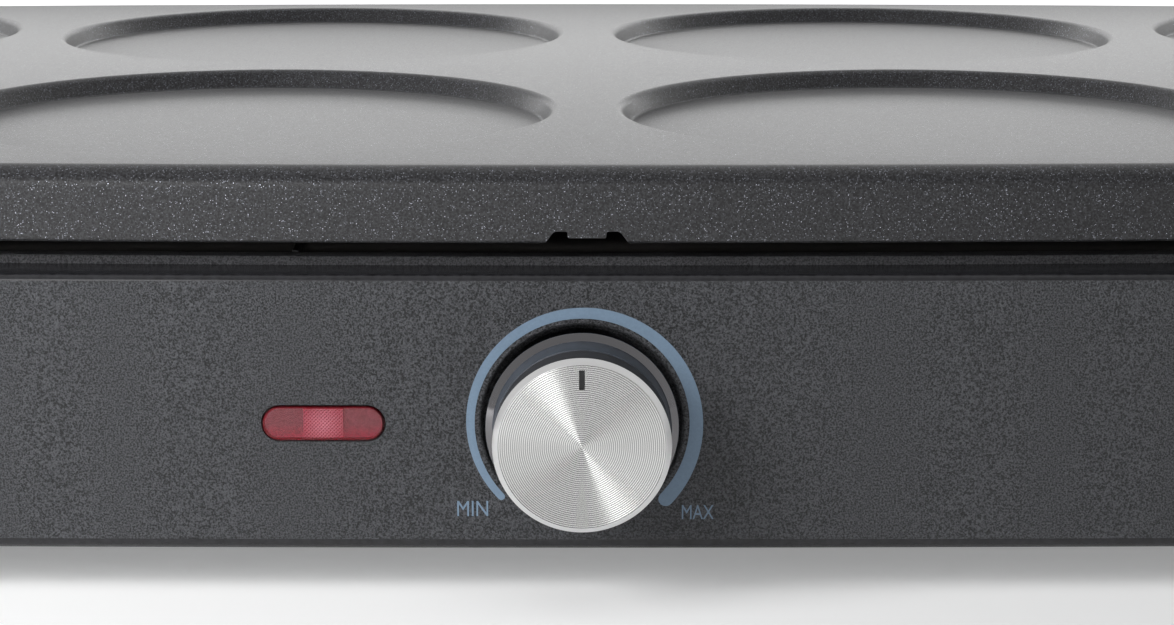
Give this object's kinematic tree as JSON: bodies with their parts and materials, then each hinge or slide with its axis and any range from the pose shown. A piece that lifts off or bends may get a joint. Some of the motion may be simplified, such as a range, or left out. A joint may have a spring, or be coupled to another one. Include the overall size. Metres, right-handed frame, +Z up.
{
  "type": "electric crepe maker",
  "caption": "Countertop crepe maker: cast plate with round wells on a bowed rectangular base, front dial with printed arc, pilot lens and end handles.",
  "frame": {"origin": "bottom centre of the whole object's box, on the surface that the feet stand on", "axes": "+X along the long side to the right seen from the front, +Y from the dial side to the rear, +Z up"},
  "size_m": [0.5992, 0.2956, 0.0717],
  "materials": {
    "housing_plastic": "fine spark-eroded grain",
    "frame_plastic": "semi-gloss",
    "handle_plastic": "satin",
    "white_plastic": "satin",
    "knob_plastic": "skirt plated in dark chrome, barrel matt black",
    "red_lens": "clear red with prisms",
    "zinc_sheet": "zinc-plated sheet",
    "reflector_sheet": "aluminised, bright",
    "element_sheath": "dark annealed sheath",
    "shaft_steel": "turned",
    "spring_steel": "blued",
    "screw_steel": "zinc-plated",
    "brass": "plain",
    "copper": "drawn copper",
    "ceramic": "fired, unglazed",
    "lamp_glass": "clear",
    "brown_lead": "silicone sleeve",
    "blue_lead": "silicone sleeve",
    "green_lead": "silicone sleeve",
    "white_lead": "silicone sleeve",
    "black_rubber": "matt",
    "spun_aluminium": "spun, with a bright cut rim",
    "plate_coating": "dark speckled non-stick coating on cast aluminium"
  },
  "bodies": {
    "base": {"housing": "housing_plastic", "top_frame": "frame_plastic", "base_plate": "zinc_sheet", "reflector_tray": "reflector_sheet", "heating_element": "element_sheath", "element_supports": "zinc_sheet", "terminal_insulators": "ceramic", "element_terminals": "brass", "thermostat_body": "ceramic", "thermostat_bracket": "zinc_sheet", "thermostat_screws": "screw_steel", "capillary_tube": "copper", "sensor_bulb": "copper", "bulb_clip": "zinc_sheet", "indicator_lens": "red_lens", "neon_lamp": "lamp_glass", "lamp_holder": "white_plastic", "terminal_block": "white_plastic", "terminal_screws": "brass", "thermal_fuse": "ceramic", "fuse_clip": "zinc_sheet", "live_lead": "brown_lead", "neutral_lead": "blue_lead", "fuse_leads": "brown_lead", "earth_lead": "green_lead", "lamp_leads": "white_lead", "earth_screw": "brass", "cable_gland": "black_rubber", "side_handle_left": "handle_plastic", "side_handle_right": "handle_plastic", "handle_screws": "screw_steel", "rubber_feet": "black_rubber", "base_screws": "screw_steel", "frame_screws": "screw_steel", "tray_screws": "screw_steel", "rail_rivets": "screw_steel"},
    "dial": {"thermostat_shaft": "shaft_steel", "knob": "knob_plastic", "knob_face": "spun_aluminium", "knob_clip": "spring_steel"},
    "plate": {"cooking_plate": "plate_coating"}
  },
  "joints": [
    {"name": "knob_turn", "type": "hinge", "parent": "base", "child": "dial", "pos_m": [-0.0008, -0.1328, 0.0294], "axis": [0, 1, 0], "range_deg": [-133, 133]},
    {"name": "plate_lift", "type": "slide", "parent": "base", "child": "plate", "axis": [0, 0, 1], "range_m": [0, 0.1]}
  ]
}
